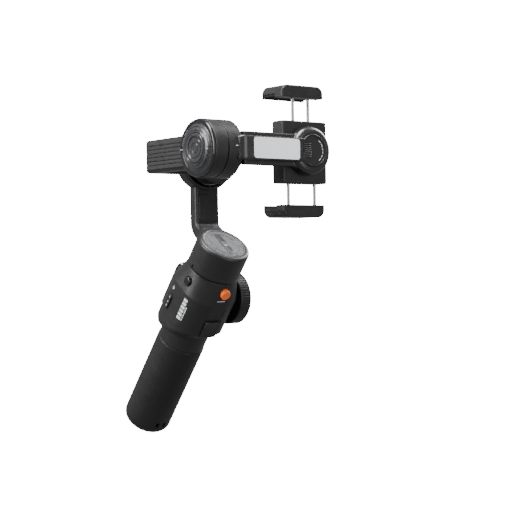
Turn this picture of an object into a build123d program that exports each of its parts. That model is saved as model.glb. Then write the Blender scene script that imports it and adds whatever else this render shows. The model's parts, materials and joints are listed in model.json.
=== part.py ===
from build123d import *
import os
from math import cos, sin, radians

# ---------------------------------------------------------------------------
# Three-axis phone gimbal. Row frame: origin at the mouth of the tripod thread
# in the foot of the handle, +Z up the handle, -Y towards the user's thumb,
# +X to the user's right.  All sizes in millimetres, all angles in degrees.
# ---------------------------------------------------------------------------

# Fits and clearances
FIT = 0.05
GAP = 0.35
PAST = 1.0

# Handle
GRIP_R = 18.6
GRIP_TOP = 84.5
GRIP_WALL = 2.2
GRIP_RIM_ROUND = 0.8
FOOT_ROUND = 8.0
FOOT_THICK = 8.5
NECK_R = 18.0
NECK_WALL = 2.0
NECK_TOP = 104.0
LANYARD_Z = 11.5
LANYARD_X = 3.1
LANYARD_WIDTH = 2.2
LANYARD_HEIGHT = 4.4

# Tripod thread, 1/4"-20 UNC at its tapping size
INSERT_R = 5.0
THREAD_R = 2.6

# Cylindrical lithium cells, 18650 size
CELL_R = 9.1
CELL_LENGTH = 65.0
CELL_GAP = 1.5
CELL_FLOOR = 2.0
CELL_ROUND = 0.6

# Control body: a rounded square column that narrows at both ends
BODY_HALF_X = 22.6
BODY_HALF_Y = 23.6
BODY_CORNER = 18.5
BODY_BASE = 78.0
BODY_SHOULDER = 135.5
BODY_TOP = 152.5
BODY_TOP_R = 19.6
BODY_WALL = 2.2
BODY_RIM_Z = 94.0
BODY_RIM_SLANT = 18.5
BODY_CUFF = 5.4
BODY_RIM_ROUND = 0.8
TAPER_Z = 99.7
TAPER_R = 25.2
TAPER_ANGLE = 25.0
SEAM_Y = 5.3
SEAM_Z = 102.5
SEAM_LEAN = 6.0
VENT_X = (-6.5, 3.5)
VENT_Z = (124.5, 132.0)
VENT_DEPTH = 0.4
VENT_CORNER = 1.2

# Pan stage
PAN_R = 20.2
PAN_BOTTOM = 153.5
PAN_TOP = 176.0
PAN_ROOF = 5.4
PAN_CAVITY_R = 17.6
PAN_CAP_R = 16.8
PAN_CAP_THICK = 2.4
PAN_NOTCH = 1.6
PAN_EDGE = 2.4
PAN_LIP = 0.5

# Head frame: all three motor axes meet at O, and the head leans by LEAN about X
O_Z = 257.5
LEAN = 38.0

# Pan arm and roll motor, along the head's Y axis
PLATE_HALF = 10.8
PLATE_BACK = -79.0
PLATE_FRONT = -70.0
NECK_FLARE = 8.0
NECK_DROP = 10.5
NECK_START = -4.0
NECK_END = 4.0
NECK_BEND = 16.0
NECK_INNER_BEND = 4.0
NECK_EDGE = 2.2
ROLL_HEAD_R = 24.3
ROLL_HEAD_WALL = 2.4
ROLL_HEAD_EDGE = 1.6
ROLL_HEAD_FRONT = -68.5
ROLL_HUB_R = 19.8
ROLL_HUB_EDGE = 1.4
ROLL_HUB_BACK = -67.5
ROLL_HUB_FRONT = -57.0
ROLL_STATOR_R = 17.0
COVER_PLATE = (-47.0, -27.0)
COVER_PLATE_HALF = 8.4
COVER_PLATE_THICK = 0.8

# L-shaped roll arm
LEG_FRONT = -58.5
BAR_END = -69.2
BAR_OUT = 57.2
BAR_IN = 48.2
BAR_LOW = -13.4
BAR_HIGH = 10.4
BAR_CORNER = 4.0
BAR_EDGE = 2.4
PAD_THICK = 1.0
PAD_MARGIN = 2.2
RIB_COUNT = 7
RIB_GROOVE = 0.7

# Tilt motor, along the head's X axis
TILT_R = 20.4
TILT_WALL = 2.4
TILT_OUT = 58.6
TILT_SEAM = 48.2
TILT_GAP = 0.5
TILT_IN = 33.5
TILT_CHAMFER = 2.6
TILT_BOSS_IN = 38.5
CAP_RING_OUT = 60.6
CAP_RING_R = 19.8
CAP_RING_WALL = 2.6
CAP_SINK = 0.6
CAP_DISC_R = 10.3
CAP_DISC_OUT = 62.8

# Motor internals shared by the three motors
SHAFT_R = 2.5
BEARING_R = 4.2
BEARING_WIDTH = 3.0
BOSS_R = 6.0
STATOR_R = 14.4
STATOR_ROOT = 2.5
AIR_GAP = 0.8
TOOTH_COUNT = 12
TOOTH_WIDTH = 3.2
PAN_BASE_R = 16.0
PAN_BASE_THICK = 4.0
PAN_BASE_OPENING_R = 10.0
ORANGE_NOTCH_HALF = 8.0

# Light arm
ARM_BACK = 13.6
ARM_MID = 18.2
ARM_HALF = 11.6
ARM_FLARE = 10.0
ARM_EDGE = 1.3
COVER_FRONT = 24.0
COVER_HALF = 8.3
COVER_OUT = 40.6
COVER_IN = -17.5
COVER_NOSE = 5.4
COVER_EDGE = 1.4
DIFFUSER_OUT = 29.5
DIFFUSER_IN = -11.2
DIFFUSER_HALF = 7.2
DIFFUSER_CORNER = 2.2
DIFFUSER_THICK = 2.8
LIGHT_POCKET = 2.2
LIGHT_POCKET_HALF = 6.0
LIGHT_BOARD = 1.2
LIGHT_BOARD_HALF = 5.5

# Phone clamp, centred on its swivel axis
CLAMP_X = -25.6
SWIVEL_RING_R = 17.2
SWIVEL_RING_FRONT = 22.0
SWIVEL_RING_EDGE = 4.2
SWIVEL_CAP_GAP = 0.3
SWIVEL_CAP_R = 11.6
SWIVEL_CAP_BACK = 20.4
SWIVEL_CAP_FRONT = 22.6
SWIVEL_PIN_R = 4.0
SWIVEL_PIN_BACK = 6.0
CLAMP_HALF = 20.3
CLAMP_LOW = -23.0
CLAMP_HIGH = 21.6
CLAMP_FRONT = 12.7
CLAMP_CORNER = 1.4
BACK_PAD = 1.2
BACK_PAD_MARGIN = 3.2
BACK_PAD_HALF = 18.0
JAW_INNER = 39.2
JAW_OUTER = 47.0
JAW_OUT_X = -5.2
JAW_IN_X = -43.6
JAW_BACK = -11.0
JAW_LIP = 2.2
JAW_CORNER = 5.5
JAW_EDGE = 1.2
JAW_BACK_EDGE = 2.0
JAW_PAD = 1.6
JAW_PAD_FRONT = 4.3
LIP_DROP = 1.0
PHONE_SLOT = 9.0
ROD_R = 1.2
ROD_Y = 8.0
ROD_REACH = 8.0
ROD_SOCKET = 5.0
SPRING_DRUM = (3.2, 9.8)
SPRING_POCKET_HALF = 6.8
SPRING_Z = 12.2
SPRING_R = 4.4
SPRING_POST_R = 1.6
UPPER_ROD_X = 7.1
LOWER_ROD_X = 12.2

# Wheel on the side of the handle
WHEEL_R = 20.0
WHEEL_Z = 124.0
WHEEL_IN = -24.2
WHEEL_OUT = -34.2
WHEEL_RIBS = 60
RIB_CUT_R = 0.45
RIB_MARGIN = 1.4
WHEEL_EDGE = 1.2
WHEEL_DISH_R = 16.1
WHEEL_DISH = 0.8
WHEEL_AXLE_R = 3.0
WHEEL_AXLE_OUT = -28.8
WHEEL_AXLE_IN = -16.0
FLANGE_R = 5.5
WHEEL_BUTTON_R = 5.5
WHEEL_BUTTON_THICK = 1.8
BUTTON_EDGE = 0.6
STEM_R = 1.2

# Trigger and buttons
ORANGE_X = -1.0
ORANGE_Z = 145.2
ORANGE_R = 3.9
ORANGE_IN = 17.2
ORANGE_OUT = 23.9
TRIGGER_HALF = 6.9
TRIGGER_LOW = 106.5
TRIGGER_HIGH = 121.0
TRIGGER_OUT = 25.8
TRIGGER_DROP = 0.8
TRIGGER_HINGE_Y = 18.5
TRIGGER_HINGE_Z = 118.0
TRIGGER_LUG = (7.3, 9.4)
TRIGGER_PIN_R = 1.0
TRIGGER_PIN_REACH = 1.4
SCOOP_R = 30.0
SCOOP_DEPTH = 1.3
SCOOP_Z = 6.0
TRIGGER_BACK = 2.5
TRIGGER_CORNER = 2.0
TRIGGER_EDGE = 1.4
ROUND_BUTTON_Z = 143.6
ROUND_BUTTON_Y = 3.2
ROUND_BUTTON_R = 3.4
ROUND_BUTTON_IN = 17.0
ROUND_BUTTON_OUT = 22.6
PILL_Z = 118.0
PILL_LENGTH = 13.0
PILL_WIDTH = 4.4
PILL_ANGLE = 105.0
PILL_IN = 19.0
PILL_OUT = 23.9

# Thumb panel with its joystick, record button and lamps
PANEL_HALF = 12.5
PANEL_LOW = 98.5
PANEL_HIGH = 140.0
PANEL_OUT = -25.4
PANEL_IN = -22.6
PANEL_SKIRT = -19.4
PANEL_WALL = 1.2
PANEL_FIT = 0.1
PANEL_CORNER = 5.0
PANEL_EDGE = 0.8
JOYSTICK_Z = 124.0
JOYSTICK_OUT = -29.0
JOYSTICK_R = 6.2
JOYSTICK_THICK = 2.0
JOYSTICK_WELL = 7.8
JOYSTICK_DISH_R = 14.0
JOYSTICK_DISH = 0.7
STICK_STEM_R = 2.0
STICK_BALL_R = 3.0
YOKE_R = 6.0
YOKE_BORE = 4.6
YOKE_Y = (-21.0, -19.6)
RECORD_Z = 107.5
RECORD_R = 4.5
RECORD_OUT = -26.3
LAMP_Z = 135.5
LAMP_R = 0.8
LAMP_X = (-4.5, -1.5, 1.5, 4.5)

# Main circuit board
BOARD_HALF = 10.5
BOARD_FRONT = -17.2
BOARD_THICK = 1.4
BOARD_LOW = 105.5
BOARD_HIGH = 140.5
BOARD_INSET = 3.0
CHIP_THICK = 1.2
SCREW_R = 1.0
SCREW_HEAD_R = 1.8
SCREW_LENGTH = 4.2
CHIPS = (((-4.0, 4.0), (112.5, 117.0)), ((-9.0, -5.5), (114.0, 118.0)), ((-3.0, 3.0), (132.0, 137.0)))

HEAD = Location(Plane(origin=(0, 0, O_Z), x_dir=(1, 0, 0),
                      z_dir=(0, -sin(radians(LEAN)), cos(radians(LEAN)))))
NODES = {}


# --- small builders ---------------------------------------------------------

def rod(axis, radius, start, end, at=(0, 0)):
    """A cylinder along x, y or z from start to end; `at` is its place on the other two axes."""
    length = end - start
    middle = (start + end) / 2
    if axis == "x":
        return Pos(middle, at[0], at[1]) * Rot(0, 90, 0) * Cylinder(radius, length)
    if axis == "y":
        return Pos(at[0], middle, at[1]) * Rot(90, 0, 0) * Cylinder(radius, length)
    return Pos(at[0], at[1], middle) * Cylinder(radius, length)


def ring(axis, outer, inner, start, end, at=(0, 0)):
    """A tube along x, y or z."""
    return rod(axis, outer, start, end, at) - rod(axis, inner, start - PAST, end + PAST, at)


def block(x, y, z):
    """A box from three (low, high) pairs."""
    size = [high - low for low, high in (x, y, z)]
    centre = [(high + low) / 2 for low, high in (x, y, z)]
    return Pos(*centre) * Box(*size)


def soften(shape, edges, radius):
    """Round edges, halving the radius until the round fits."""
    edges = list(edges)
    while edges and radius > 0.1:
        try:
            rounded = fillet(edges, radius)
            if rounded.is_valid and rounded.volume > 0:
                return rounded
        except Exception:
            pass
        radius /= 2
    return shape


def round_rims(shape, radius):
    """Round every circular rim of a turned piece."""
    return soften(shape, shape.edges().filter_by(GeomType.CIRCLE), radius)


def round_end(shape, axis, radius, end=-1):
    """Round the edges at one end of a piece: the far end along the axis, or the near one with end=0."""
    return soften(shape, shape.edges().group_by(axis)[end], radius)


def node(name, body, place=None):
    """Keep a piece under its node name, moved to its place."""
    NODES[name] = body if place is None else place * body


def head(name, body):
    """Keep a piece that was drawn in the head frame."""
    node(name, body, HEAD)


def bearing(axis, start):
    """A small ball bearing as one ring, with a running fit on the shaft."""
    return ring(axis, BEARING_R, SHAFT_R + FIT, start, start + BEARING_WIDTH)


def toothed_stator(axis, outer, start, end):
    """A motor stator: a core ring with a wound tooth at each step round it."""
    root_r = BOSS_R + STATOR_ROOT
    half = TOOTH_WIDTH / 2
    core = ring("z", root_r, BOSS_R, start, end)
    tooth = block((root_r - 0.6, outer), (-half, half), (start, end))
    for index in range(TOOTH_COUNT):
        core += Rot(0, 0, index * 360 / TOOTH_COUNT) * tooth
    core = core & rod("z", outer, start, end)
    if axis == "x":
        return Rot(0, 90, 0) * core
    if axis == "y":
        return Rot(-90, 0, 0) * core
    return core


# --- handle -----------------------------------------------------------------

def make_grip():
    shell = rod("z", GRIP_R, 0, GRIP_TOP)
    shell = round_end(shell, Axis.Z, FOOT_ROUND, 0)
    shell = round_end(shell, Axis.Z, GRIP_RIM_ROUND)
    shell -= rod("z", GRIP_R - GRIP_WALL, FOOT_THICK, GRIP_TOP + PAST)
    shell -= rod("z", INSERT_R, -PAST, FOOT_THICK + PAST)
    half_width, half_height = LANYARD_WIDTH / 2, LANYARD_HEIGHT / 2
    for x in (-LANYARD_X, LANYARD_X):
        shell -= block((x - half_width, x + half_width), (GRIP_R - 6, GRIP_R + PAST),
                       (LANYARD_Z - half_height, LANYARD_Z + half_height))
    node("grip_shell", shell)
    node("tripod_insert", ring("z", INSERT_R, THREAD_R, 0, FOOT_THICK))
    node("neck_collar", ring("z", NECK_R, NECK_R - NECK_WALL, GRIP_TOP, NECK_TOP))


def make_battery():
    cells = []
    for index in range(2):
        start = FOOT_THICK + CELL_FLOOR + index * (CELL_LENGTH + CELL_GAP)
        cell = rod("z", CELL_R, start, start + CELL_LENGTH)
        cells.append(round_rims(cell, CELL_ROUND))
    node("battery_cells", Compound(children=cells))


def body_column(inset):
    """The control body's column, inset from its outer face, with its narrowing shoulder."""
    section = RectangleRounded(2 * (BODY_HALF_X - inset), 2 * (BODY_HALF_Y - inset), BODY_CORNER - inset)
    column = extrude(Pos(0, 0, BODY_BASE) * section, BODY_SHOULDER - BODY_BASE)
    top = Pos(0, 0, BODY_TOP - inset) * Circle(BODY_TOP_R - inset)
    shoulder = loft([Pos(0, 0, BODY_SHOULDER) * section, top])
    return column + shoulder


def below_rim():
    """Everything below the body's slanted lower end, which rises towards the front."""
    return Pos(0, 0, BODY_RIM_Z) * Rot(BODY_RIM_SLANT, 0, 0) * Pos(0, 0, -40) * Box(120, 120, 80)


def taper(inset):
    """A cone that narrows the lower end of the body towards the neck, under a plain cylinder."""
    radius = TAPER_R - inset
    drop = TAPER_Z - BODY_BASE
    narrow = radius - drop * sin(radians(TAPER_ANGLE)) / cos(radians(TAPER_ANGLE))
    cone = Pos(0, 0, BODY_BASE + drop / 2) * Cone(narrow, radius, drop)
    return cone + rod("z", radius, TAPER_Z, BODY_TOP + PAST)


def pill_prism(grow, near, far):
    """The pill button's rounded slot shape, standing out from the axis at its angle."""
    slot = SlotCenterToCenter(PILL_LENGTH - PILL_WIDTH, PILL_WIDTH + 2 * grow)
    prism = extrude(Plane.XY * slot, far - near)
    return Rot(0, 0, 90 - PILL_ANGLE) * Pos(near, 0, PILL_Z) * Rot(0, 90, 0) * prism


def trigger_lugs():
    """Two lugs inside the front shell that hold the ends of the trigger's pin."""
    z = (TRIGGER_HINGE_Z - 2, TRIGGER_HINGE_Z + 2)
    lug = block(TRIGGER_LUG, (TRIGGER_HINGE_Y - 2, BODY_HALF_Y - BODY_WALL + 0.6), z)
    reach = TRIGGER_LUG[1] + PAST
    bore = rod("x", TRIGGER_PIN_R, -reach, reach, (TRIGGER_HINGE_Y, TRIGGER_HINGE_Z))
    return (lug + mirror(lug, Plane.YZ)) - bore


def make_control_body():
    column = body_column(0) - below_rim()
    rim = column.faces().filter_by(lambda face: face.normal_at().Z < -0.7)[0]
    outer = chamfer(rim.edges(), BODY_CUFF)
    outer = soften(outer, outer.faces().sort_by(Axis.Z)[-1].edges(), BODY_RIM_ROUND)
    outer = outer & taper(0)
    cavity = (body_column(BODY_WALL) & taper(BODY_WALL)) - Pos(0, 0, BODY_CUFF) * below_rim()
    shell = outer - cavity
    shell -= rod("z", NECK_R, BODY_BASE - PAST, NECK_TOP)
    shell -= rod("z", PAN_BASE_OPENING_R, BODY_TOP - 2 * BODY_WALL, BODY_TOP + PAST)

    # windows for the controls
    far = BODY_HALF_Y + 6
    shell -= rod("y", ORANGE_R + GAP, 8, far, (ORANGE_X, ORANGE_Z))
    shell -= block((-TRIGGER_HALF - GAP, TRIGGER_HALF + GAP), (8, far),
                   (TRIGGER_LOW - GAP - TRIGGER_DROP, TRIGGER_HIGH + GAP))
    shell -= rod("x", ROUND_BUTTON_R + GAP, 12, far, (ROUND_BUTTON_Y, ROUND_BUTTON_Z))
    shell -= pill_prism(GAP, 12, far)
    shell -= rod("x", WHEEL_AXLE_R, -far, -12, (0, WHEEL_Z))
    opening = block((-PANEL_HALF, PANEL_HALF), (-far, -14), (PANEL_LOW, PANEL_HIGH))
    shell -= soften(opening, opening.edges().filter_by(Axis.Y), PANEL_CORNER)
    vent = block(VENT_X, (BODY_HALF_Y - VENT_DEPTH, far), VENT_Z)
    shell -= soften(vent, vent.edges().filter_by(Axis.Y), VENT_CORNER)

    front = Pos(0, SEAM_Y, SEAM_Z) * Rot(SEAM_LEAN, 0, 0) * Pos(0, 50, 0) * Box(100, 100, 200)
    node("front_shell", (shell & front) + trigger_lugs())
    node("thumb_shell", shell - front)


def make_panel():
    half, low, high = PANEL_HALF - PANEL_FIT, PANEL_LOW + PANEL_FIT, PANEL_HIGH - PANEL_FIT
    panel = block((-half, half), (PANEL_OUT, PANEL_SKIRT), (low, high))
    panel = soften(panel, panel.edges().filter_by(Axis.Y), PANEL_CORNER)
    panel = round_end(panel, Axis.Y, PANEL_EDGE, 0)
    inside = block((PANEL_WALL - half, half - PANEL_WALL), (PANEL_IN, PANEL_SKIRT + PAST),
                   (low + PANEL_WALL, high - PANEL_WALL))
    panel -= soften(inside, inside.edges().filter_by(Axis.Y), PANEL_CORNER - PANEL_WALL)
    panel -= rod("y", JOYSTICK_WELL, PANEL_OUT - PAST, PANEL_IN + PAST, (0, JOYSTICK_Z))
    panel -= rod("y", RECORD_R + GAP, PANEL_OUT - PAST, PANEL_IN + PAST, (0, RECORD_Z))
    lamps = [rod("y", LAMP_R, PANEL_OUT - 0.1, PANEL_OUT + 0.7, (x, LAMP_Z)) for x in LAMP_X]
    for lamp in lamps:
        panel -= lamp
    node("thumb_panel", panel)
    node("status_leds", Compound(children=lamps))


def make_board():
    spots = []
    for x in (-1, 1):
        for z in (BOARD_LOW + BOARD_INSET, BOARD_HIGH - BOARD_INSET):
            spots.append((x * (BOARD_HALF - BOARD_INSET), z))
    back = BOARD_FRONT + BOARD_THICK
    board = block((-BOARD_HALF, BOARD_HALF), (BOARD_FRONT, back), (BOARD_LOW, BOARD_HIGH))
    screws = []
    for spot in spots:
        board -= rod("y", SCREW_R, BOARD_FRONT - PAST, back + PAST, spot)
        shank = rod("y", SCREW_R, BOARD_FRONT, BOARD_FRONT + SCREW_LENGTH, spot)
        screws.append(shank + rod("y", SCREW_HEAD_R, BOARD_FRONT - CHIP_THICK, BOARD_FRONT, spot))
    face = (BOARD_FRONT - CHIP_THICK, BOARD_FRONT)
    for x, z in CHIPS:
        board += block(x, face, z)
    node("main_board", board)
    node("board_screws", Compound(children=screws))


def make_pan_base():
    low = BODY_TOP - BODY_WALL - PAN_BASE_THICK
    high = PAN_TOP - 7.0
    base = rod("z", PAN_BASE_R, low, BODY_TOP - BODY_WALL)
    base += rod("z", BOSS_R, BODY_TOP - BODY_WALL, high)
    base -= rod("z", BEARING_R, low + 2.0, high + PAST)
    base -= rod("z", SHAFT_R + PAST, low - PAST, high + PAST)
    base -= block((-ORANGE_NOTCH_HALF, ORANGE_NOTCH_HALF), (ORANGE_IN - 2, PAN_BASE_R + PAST),
                  (low - PAST, ORANGE_Z + ORANGE_R + PAST))
    node("pan_motor_base", base)
    node("pan_stator", toothed_stator("z", STATOR_R, PAN_BOTTOM + 3.0, high - 2.0))
    node("pan_bearings", Compound(children=[bearing("z", low + 2.0), bearing("z", high - BEARING_WIDTH)]))


# --- wheel, trigger and buttons ----------------------------------------------

def make_wheel():
    wheel = round_rims(rod("x", WHEEL_R, WHEEL_OUT, WHEEL_IN), WHEEL_EDGE)
    groove = rod("x", RIB_CUT_R, WHEEL_OUT + RIB_MARGIN, WHEEL_IN - RIB_MARGIN, (0, WHEEL_R + 0.1))
    wheel -= [Rot(index * 360 / WHEEL_RIBS, 0, 0) * groove for index in range(WHEEL_RIBS)]
    wheel -= rod("x", WHEEL_DISH_R, WHEEL_OUT - PAST, WHEEL_OUT + WHEEL_DISH)
    wheel -= rod("x", WHEEL_BUTTON_R + GAP, WHEEL_OUT - PAST, WHEEL_OUT + 2 * WHEEL_BUTTON_THICK)
    wheel -= rod("x", WHEEL_AXLE_R + FIT, WHEEL_OUT, WHEEL_IN + PAST)
    node("focus_wheel", wheel, Pos(0, 0, WHEEL_Z))

    front = WHEEL_OUT + 0.6
    button = rod("x", WHEEL_BUTTON_R, front, front + WHEEL_BUTTON_THICK)
    button = round_end(button, Axis.X, BUTTON_EDGE, 0)
    button += rod("x", STEM_R, front + WHEEL_BUTTON_THICK, WHEEL_IN - 2.0)
    node("wheel_button", button, Pos(0, 0, WHEEL_Z))

    axle = rod("x", WHEEL_AXLE_R, WHEEL_AXLE_OUT, WHEEL_AXLE_IN, (0, WHEEL_Z))
    flange = rod("x", FLANGE_R, WHEEL_AXLE_IN - 3.8, WHEEL_AXLE_IN - 2.2, (0, WHEEL_Z))
    stem_bore = rod("x", STEM_R + FIT, WHEEL_AXLE_OUT - PAST, WHEEL_IN, (0, WHEEL_Z))
    node("wheel_axle", axle + flange - stem_bore)


def make_trigger():
    blade = block((-TRIGGER_HALF, TRIGGER_HALF), (TRIGGER_HINGE_Y - TRIGGER_BACK, TRIGGER_OUT),
                  (TRIGGER_LOW, TRIGGER_HIGH))
    blade = soften(blade, blade.edges().filter_by(Axis.Y), TRIGGER_CORNER)
    blade = round_end(blade, Axis.Y, TRIGGER_EDGE)
    side = TRIGGER_HALF + PAST
    blade -= rod("x", SCOOP_R, -side, side, (TRIGGER_OUT + SCOOP_R - SCOOP_DEPTH, TRIGGER_LOW + SCOOP_Z))
    hinge = (TRIGGER_HINGE_Y, TRIGGER_HINGE_Z)
    blade -= rod("x", TRIGGER_PIN_R + FIT, -side, side, hinge)
    node("trigger", blade)
    reach = TRIGGER_HALF + TRIGGER_PIN_REACH
    node("trigger_pin", rod("x", TRIGGER_PIN_R, -reach, reach, hinge))


def make_buttons():
    orange = rod("y", ORANGE_R, ORANGE_IN, ORANGE_OUT, (ORANGE_X, ORANGE_Z))
    node("orange_button", round_end(orange, Axis.Y, BUTTON_EDGE))
    side = rod("x", ROUND_BUTTON_R, ROUND_BUTTON_IN, ROUND_BUTTON_OUT, (ROUND_BUTTON_Y, ROUND_BUTTON_Z))
    node("round_button", round_end(side, Axis.X, BUTTON_EDGE))
    node("pill_button", pill_prism(0, PILL_IN, PILL_OUT))
    record = rod("y", RECORD_R, RECORD_OUT, YOKE_Y[1], (0, RECORD_Z))
    node("record_button", round_end(record, Axis.Y, BUTTON_EDGE, 0))


def make_joystick():
    node("joystick_yoke", ring("y", YOKE_R, YOKE_BORE, *YOKE_Y, (0, JOYSTICK_Z)))
    under = JOYSTICK_OUT + JOYSTICK_THICK
    stem = rod("y", STICK_STEM_R, under, YOKE_Y[1], (0, JOYSTICK_Z))
    thumb = round_rims(rod("y", JOYSTICK_R, JOYSTICK_OUT, under, (0, JOYSTICK_Z)), 0.8)
    dish_centre = JOYSTICK_OUT + JOYSTICK_DISH - JOYSTICK_DISH_R
    thumb -= Pos(0, dish_centre, JOYSTICK_Z) * Sphere(JOYSTICK_DISH_R)
    node("joystick", stem + thumb + Pos(0, sum(YOKE_Y) / 2, JOYSTICK_Z) * Sphere(STICK_BALL_R))


# --- pan stage --------------------------------------------------------------

def head_point(y, z):
    """A point of the head's YZ plane, as (Y, Z) of the row frame."""
    lean = radians(LEAN)
    return (y * cos(lean) - z * sin(lean), O_Z + y * sin(lean) + z * cos(lean))


def slope_at(y, level):
    """Where a line along the head's Z axis at head y comes down to a level of the row frame."""
    lean = radians(LEAN)
    return head_point(y, (level - O_Z - y * sin(lean)) / cos(lean))


def swan_neck():
    """The arm that leaves the pan rotor's back, bends up and runs to the roll motor."""
    top = PAN_TOP - 0.6
    foot = PAN_TOP - NECK_DROP
    outline = [head_point(PLATE_FRONT, NECK_END), slope_at(PLATE_FRONT, top), (NECK_START, top),
               (NECK_START, foot), slope_at(PLATE_BACK, foot), head_point(PLATE_BACK, NECK_END)]
    radii = [NECK_INNER_BEND, 0, 0, NECK_BEND]
    side = FilletPolyline(*outline, radius=radii) + Line(outline[-1], outline[0])
    wide = extrude(Plane.YZ * make_face(side), 40, both=True)
    plan = Pos(0, -30) * Rectangle(2 * PLATE_HALF, 60) + Circle(PAN_R)
    hollows = [v for v in plan.vertices() if abs(abs(v.X) - PLATE_HALF) < 0.01 and v.Y > -25]
    plan = fillet(hollows, NECK_FLARE)
    neck = wide & extrude(plan, O_Z)
    return soften(neck, neck.edges().filter_by(lambda edge: edge.length > 40), NECK_EDGE)


def make_pan_stage():
    cup = rod("z", PAN_R, PAN_BOTTOM, PAN_TOP)
    cup = round_end(round_end(cup, Axis.Z, PAN_EDGE), Axis.Z, PAN_LIP, 0)
    solid_cup = cup
    cup -= rod("z", PAN_CAVITY_R, PAN_BOTTOM - PAST, PAN_TOP - PAN_ROOF)
    cup -= rod("z", PAN_CAP_R, PAN_TOP - PAN_CAP_THICK, PAN_TOP + PAST)
    notch = Pos(PAN_R, 0, PAN_BOTTOM + PAN_NOTCH) * Box(PAN_NOTCH, PAN_NOTCH, 2 * PAN_NOTCH)
    cup -= notch
    node("pan_rotor", cup)
    cap = rod("z", PAN_CAP_R, PAN_TOP - PAN_CAP_THICK, PAN_TOP)
    node("pan_cap", round_end(cap, Axis.Z, 0.5))
    node("pan_shaft", rod("z", SHAFT_R, BODY_TOP - 5.4, PAN_TOP - PAN_ROOF))
    node("pan_magnets", ring("z", PAN_CAVITY_R, STATOR_R + AIR_GAP, PAN_BOTTOM + 2.5, PAN_TOP - 8.5))

    disc = round_rims(rod("y", ROLL_HEAD_R, PLATE_BACK, ROLL_HEAD_FRONT), ROLL_HEAD_EDGE)
    arm = swan_neck() + HEAD * disc - solid_cup
    arm = arm.solids().sort_by(SortBy.VOLUME)[-1]
    well = PLATE_BACK + ROLL_HEAD_WALL
    arm -= HEAD * rod("y", ROLL_HEAD_R - ROLL_HEAD_WALL, well, ROLL_HEAD_FRONT + PAST)
    arm += HEAD * rod("y", BOSS_R, well - 0.4, ROLL_HEAD_FRONT - 0.6)
    arm -= HEAD * rod("y", BEARING_R, well + 1.0, ROLL_HEAD_FRONT + PAST)
    node("pan_arm", arm)

    head("roll_stator", toothed_stator("y", ROLL_STATOR_R, well + 1.0, ROLL_HEAD_FRONT - 1.2))
    bearings = [bearing("y", well + 1.0), bearing("y", ROLL_HEAD_FRONT - 0.8 - BEARING_WIDTH)]
    head("roll_bearings", Compound(children=bearings))
    back = rod("y", ROLL_HEAD_R - 2.6, PLATE_BACK - 1.2, PLATE_BACK)
    head("roll_back_cap", round_end(back, Axis.Y, 0.6, 0))

    depth = (PLATE_FRONT, PLATE_FRONT + COVER_PLATE_THICK)
    cover = block((-COVER_PLATE_HALF, COVER_PLATE_HALF), depth, COVER_PLATE)
    head("pan_arm_cover", soften(cover, cover.edges().filter_by(Axis.Y), 2.0))


# --- roll stage --------------------------------------------------------------

def make_roll_arm():
    hub = round_rims(rod("y", ROLL_HUB_R, ROLL_HUB_BACK, ROLL_HUB_FRONT), ROLL_HUB_EDGE)
    height = (BAR_LOW, BAR_HIGH)
    beam = block((0, BAR_OUT), (ROLL_HUB_BACK, LEG_FRONT), height)
    beam += block((BAR_IN, BAR_OUT), (BAR_END, -12), height)
    beam += block((ROLL_HEAD_R + 4, BAR_OUT), (BAR_END, LEG_FRONT), height)
    corner = beam.edges().filter_by(Axis.Z).sort_by(lambda edge: edge.center().Y - edge.center().X)[0]
    beam = soften(beam, [corner], BAR_CORNER)
    rims = beam.edges().filter_by(lambda edge: min(abs(edge.center().Z - z) for z in height) < 0.01)
    beam = soften(beam, rims, BAR_EDGE)
    housing = round_rims(rod("x", TILT_R, TILT_SEAM, TILT_OUT), 0.5)
    arm = hub + beam + housing
    arm -= rod("x", TILT_R - TILT_WALL, TILT_SEAM - PAST, TILT_OUT - TILT_WALL)
    arm -= rod("x", TILT_R + 0.6, BAR_IN - 5, TILT_SEAM)
    arm += rod("x", BOSS_R, TILT_BOSS_IN, TILT_OUT - 2.0)
    arm -= rod("x", BEARING_R, TILT_BOSS_IN - PAST, TILT_OUT - 3.4)
    head("roll_arm", arm)

    low, high = BAR_LOW + PAD_MARGIN, BAR_HIGH - PAD_MARGIN
    pad = block((BAR_OUT, BAR_OUT + PAD_THICK), (BAR_END + BAR_CORNER + 0.6, 1 - TILT_R), (low, high))
    pad -= rod("x", TILT_R + 0.1, BAR_OUT - PAST, TILT_OUT + PAST)
    half = RIB_GROOVE / 2
    for index in range(1, RIB_COUNT):
        z = low + index * (high - low) / RIB_COUNT
        pad -= block((BAR_OUT + 0.4, BAR_OUT + 2), (BAR_END, 0), (z - half, z + half))
    head("ribbed_pad", pad)


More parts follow.
